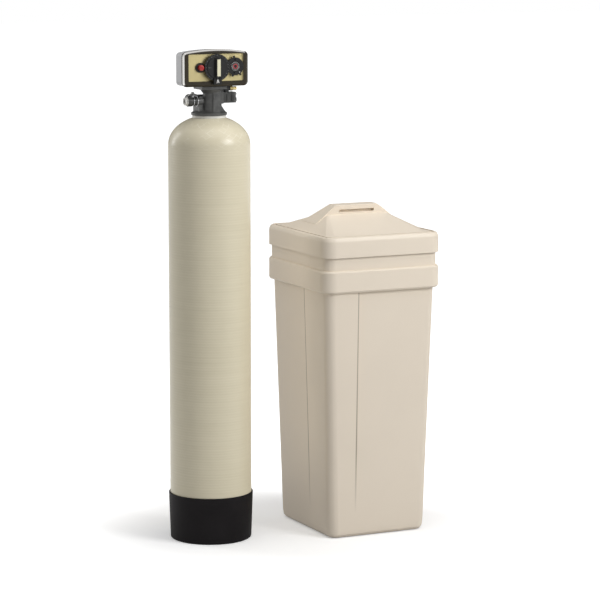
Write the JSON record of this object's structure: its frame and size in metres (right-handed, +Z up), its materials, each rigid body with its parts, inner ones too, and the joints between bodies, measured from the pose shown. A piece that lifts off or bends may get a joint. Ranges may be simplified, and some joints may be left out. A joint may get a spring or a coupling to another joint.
{
  "type": "water softener",
  "caption": "Twin-tank water softener: wound resin tank in a boot, timer valve with dial, knob and skipper wheel on top, and a separate square salt tank with a lift-off lid and brine well.",
  "frame": {"origin": "middle of the footprint of both tanks, on the floor", "axes": "X to the right seen from the front, Y to the back, Z up"},
  "size_m": [0.7516, 0.4308, 1.4068],
  "materials": {
    "boot_black": "moulded",
    "cream_shell": "wound glass fibre",
    "white_plastic": "moulded",
    "resin_beads": "beads",
    "valve_grey": "moulded",
    "seal_rubber": "matte",
    "steel": "plain",
    "brass": "plain",
    "frame_black": "gloss",
    "gold_face": "satin",
    "cover_grey": "satin",
    "button_red": "gloss",
    "strip_cream": "satin",
    "tank_beige": "moulded"
  },
  "bodies": {
    "base": {"tank_boot": "boot_black", "tank_wrap": "cream_shell", "tank_liner": "white_plastic", "distributor_tube": "white_plastic", "lower_distributor": "valve_grey", "upper_screen": "valve_grey", "resin_bed": "resin_beads", "valve_body": "valve_grey", "tank_o_ring": "seal_rubber", "valve_seals": "seal_rubber", "valve_spacers": "white_plastic", "end_plug": "white_plastic", "injector_body": "valve_grey", "injector_cap": "valve_grey", "injector_nozzle": "white_plastic", "injector_screws": "steel", "brine_valve_spring": "steel", "brine_fitting": "brass", "drain_fitting": "valve_grey", "drain_end": "white_plastic", "drain_clip": "steel", "port_adapters": "valve_grey", "port_clips": "white_plastic", "back_plate": "frame_black", "front_bezel": "frame_black", "face_plate": "gold_face", "cover_shell": "cover_grey", "pointer_tab": "frame_black", "button_bush": "frame_black", "drive_motor": "steel", "head_screws": "steel", "brine_tank": "tank_beige", "brine_well": "white_plastic", "salt_grid": "white_plastic", "grid_legs": "white_plastic", "safety_valve": "valve_grey", "overflow_elbow": "white_plastic", "overflow_nut": "white_plastic", "line_grommet": "seal_rubber"},
    "piston": {"piston": "steel"},
    "brine_stem": {"brine_valve_stem": "steel"},
    "button": {"time_set_button": "button_red"},
    "dial": {"time_dial": "frame_black"},
    "idler": {"idler_gear": "white_plastic"},
    "pinion": {"motor_pinion": "brass"},
    "knob": {"regeneration_knob": "frame_black", "knob_strip": "strip_cream", "main_gear": "white_plastic"},
    "skipper": {"skipper_wheel": "frame_black"},
    "lid": {"brine_lid": "tank_beige"},
    "well_cap": {"well_cap": "valve_grey"},
    "float": {"brine_float": "white_plastic"},
    "day_tab_1": {"day_tab_1": "frame_black"},
    "day_tab_2": {"day_tab_2": "frame_black"},
    "day_tab_3": {"day_tab_3": "frame_black"},
    "day_tab_4": {"day_tab_4": "frame_black"},
    "day_tab_5": {"day_tab_5": "frame_black"},
    "day_tab_6": {"day_tab_6": "frame_black"},
    "day_tab_7": {"day_tab_7": "frame_black"}
  },
  "joints": [
    {"name": "dial_turn", "type": "hinge", "parent": "base", "child": "dial", "pos_m": [-0.26185, -0.04879, 1.3558], "axis": [0, -1, 0], "continuous": true},
    {"name": "idler_turn", "type": "hinge", "parent": "base", "child": "idler", "pos_m": [-0.29625, -0.04879, 1.33171], "axis": [0, -1, 0], "continuous": true},
    {"name": "pinion_turn", "type": "hinge", "parent": "base", "child": "pinion", "pos_m": [-0.31694, -0.04879, 1.32806], "axis": [0, -1, 0], "continuous": true},
    {"name": "knob_turn", "type": "hinge", "parent": "base", "child": "knob", "pos_m": [-0.26185, -0.04879, 1.3558], "axis": [0, -1, 0], "continuous": true},
    {"name": "skipper_turn", "type": "hinge", "parent": "base", "child": "skipper", "pos_m": [-0.20485, -0.04879, 1.3578], "axis": [0, -1, 0], "continuous": true},
    {"name": "button_press", "type": "slide", "parent": "base", "child": "button", "axis": [0, 1, 0], "range_m": [0, 0.005], "stiffness_N_per_m": 400, "springref_m": -0.004},
    {"name": "piston_stroke", "type": "slide", "parent": "base", "child": "piston", "axis": [0, 0, 1], "range_m": [-0.024, 0]},
    {"name": "brine_stem_press", "type": "slide", "parent": "base", "child": "brine_stem", "axis": [0, 0, 1], "range_m": [-0.006, 0], "stiffness_N_per_m": 500, "springref_m": 0.004, "deforming": ["brine_valve_spring"]},
    {"name": "lid_lift", "type": "slide", "parent": "base", "child": "lid", "axis": [0, 0, 1], "range_m": [0, 0.12]},
    {"name": "well_cap_lift", "type": "slide", "parent": "base", "child": "well_cap", "axis": [0, 0, 1], "range_m": [0, 0.03]},
    {"name": "float_rise", "type": "slide", "parent": "base", "child": "float", "axis": [0, 0, 1], "range_m": [0, 0.015]},
    {"name": "day_tab_1_slide", "type": "slide", "parent": "skipper", "child": "day_tab_1", "axis": [-0.1392, 0, 0.9903], "range_m": [-0.005, 0]},
    {"name": "day_tab_2_slide", "type": "slide", "parent": "skipper", "child": "day_tab_2", "axis": [0.6874, 0, 0.7262], "range_m": [0, 0.005]},
    {"name": "day_tab_3_slide", "type": "slide", "parent": "skipper", "child": "day_tab_3", "axis": [0.9964, 0, -0.0847], "range_m": [0, 0.005]},
    {"name": "day_tab_4_slide", "type": "slide", "parent": "skipper", "child": "day_tab_4", "axis": [0.5551, 0, -0.8318], "range_m": [-0.005, 0]},
    {"name": "day_tab_5_slide", "type": "slide", "parent": "skipper", "child": "day_tab_5", "axis": [-0.3043, 0, -0.9526], "range_m": [-0.005, 0]},
    {"name": "day_tab_6_slide", "type": "slide", "parent": "skipper", "child": "day_tab_6", "axis": [-0.9345, 0, -0.356], "range_m": [0, 0.005]},
    {"name": "day_tab_7_slide", "type": "slide", "parent": "skipper", "child": "day_tab_7", "axis": [-0.861, 0, 0.5086], "range_m": [0, 0.005]}
  ],
  "couplings": [
    {"joint": "idler_turn", "follows": "dial_turn", "ratio": -2.5},
    {"joint": "pinion_turn", "follows": "dial_turn", "ratio": 3.3333}
  ]
}
